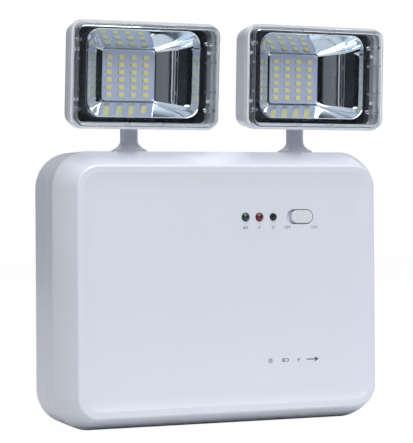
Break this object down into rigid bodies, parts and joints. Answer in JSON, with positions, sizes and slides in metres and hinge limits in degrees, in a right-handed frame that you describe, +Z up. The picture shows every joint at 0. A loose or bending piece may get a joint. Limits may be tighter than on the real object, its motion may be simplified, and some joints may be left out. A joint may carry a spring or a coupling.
{
  "type": "twin head emergency light",
  "caption": "Self-contained emergency exit light: a mains-charged battery block that stands or hangs, with two aimable LED lamp heads.",
  "frame": {"origin": "middle of the flat underside that the block stands on", "axes": "+Z up, -Y the front with the controls, +X to the right of someone who faces the front; the back face is the plane y = +18.3 mm"},
  "size_m": [0.2026, 0.0607, 0.2324],
  "materials": {
    "case_white": "glossy white moulded ABS",
    "head_white": "glossy white moulded ABS",
    "stem_white": "glossy white moulded ABS",
    "knob_white": "satin white plastic",
    "clear_cover": "clear polished acrylic",
    "plated_reflector": "vacuum-plated plastic, mirror bright",
    "led_board": "pale solder-masked aluminium board",
    "led_chip": "yellow phosphor in a white package",
    "steel": "zinc-plated steel",
    "strap_steel": "zinc-plated sheet",
    "terminal": "tinned brass",
    "rubber": "soft black rubber",
    "battery_case": "moulded black ABS",
    "circuit_board": "green solder mask",
    "ferrite": "dark ferrite and tape",
    "capacitor": "dark printed sleeve",
    "terminal_block": "green moulded block",
    "plug_white": "natural nylon",
    "lead_red": "red insulation",
    "lead_black": "black insulation",
    "green_lens": "tinted clear resin",
    "red_lens": "tinted clear resin",
    "switch_black": "moulded black",
    "button_black": "moulded black"
  },
  "bodies": {
    "base": {"rear_housing": "case_white", "front_cover": "case_white", "case_screws": "steel", "cable_grommet": "rubber", "battery": "battery_case", "battery_terminals": "terminal", "battery_strap": "strap_steel", "strap_screws": "steel", "main_board": "circuit_board", "main_board_screws": "steel", "transformer": "ferrite", "capacitors": "capacitor", "mains_block": "terminal_block", "battery_plug": "plug_white", "battery_lead_positive": "lead_red", "battery_lead_negative": "lead_black", "green_indicator": "green_lens", "red_indicator": "red_lens", "test_switch": "switch_black", "slide_switch": "switch_black"},
    "test_button": {"test_button": "button_black"},
    "switch_knob": {"switch_knob": "knob_white"},
    "left_arm": {"left_stem": "stem_white", "left_stem_washer": "steel", "left_stem_nut": "steel"},
    "left_head": {"left_head_shell": "head_white", "left_lens_cover": "clear_cover", "left_reflector": "plated_reflector", "left_led_board": "led_board", "left_led_board_screws": "steel", "left_led_chips": "led_chip", "left_pivot_screw": "steel", "left_pivot_nut": "steel"},
    "right_arm": {"right_stem": "stem_white", "right_stem_washer": "steel", "right_stem_nut": "steel"},
    "right_head": {"right_head_shell": "head_white", "right_lens_cover": "clear_cover", "right_reflector": "plated_reflector", "right_led_board": "led_board", "right_led_board_screws": "steel", "right_led_chips": "led_chip", "right_pivot_screw": "steel", "right_pivot_nut": "steel"}
  },
  "joints": [
    {"name": "left_head_pan", "type": "hinge", "parent": "base", "child": "left_arm", "pos_m": [-0.05, -0.0067, 0.1585], "axis": [0, 0, 1], "range_deg": [-93, 87]},
    {"name": "left_head_tilt", "type": "hinge", "parent": "left_arm", "child": "left_head", "pos_m": [-0.05, -0.0067, 0.1799], "axis": [-0.9986, -0.0523, 0], "range_deg": [-15.7, 39.3]},
    {"name": "right_head_pan", "type": "hinge", "parent": "base", "child": "right_arm", "pos_m": [0.0554, -0.0067, 0.1585], "axis": [0, 0, 1], "range_deg": [-94.6, 85.4]},
    {"name": "right_head_tilt", "type": "hinge", "parent": "right_arm", "child": "right_head", "pos_m": [0.0554, -0.0067, 0.1799], "axis": [-0.9968, -0.0802, 0], "range_deg": [-17.4, 37.6]},
    {"name": "test_button_press", "type": "slide", "parent": "base", "child": "test_button", "axis": [0, 1, 0], "range_m": [0, 0.0005], "stiffness_N_per_m": 600},
    {"name": "switch_slide", "type": "slide", "parent": "base", "child": "switch_knob", "axis": [1, 0, 0], "range_m": [-0.0027, 0]}
  ]
}
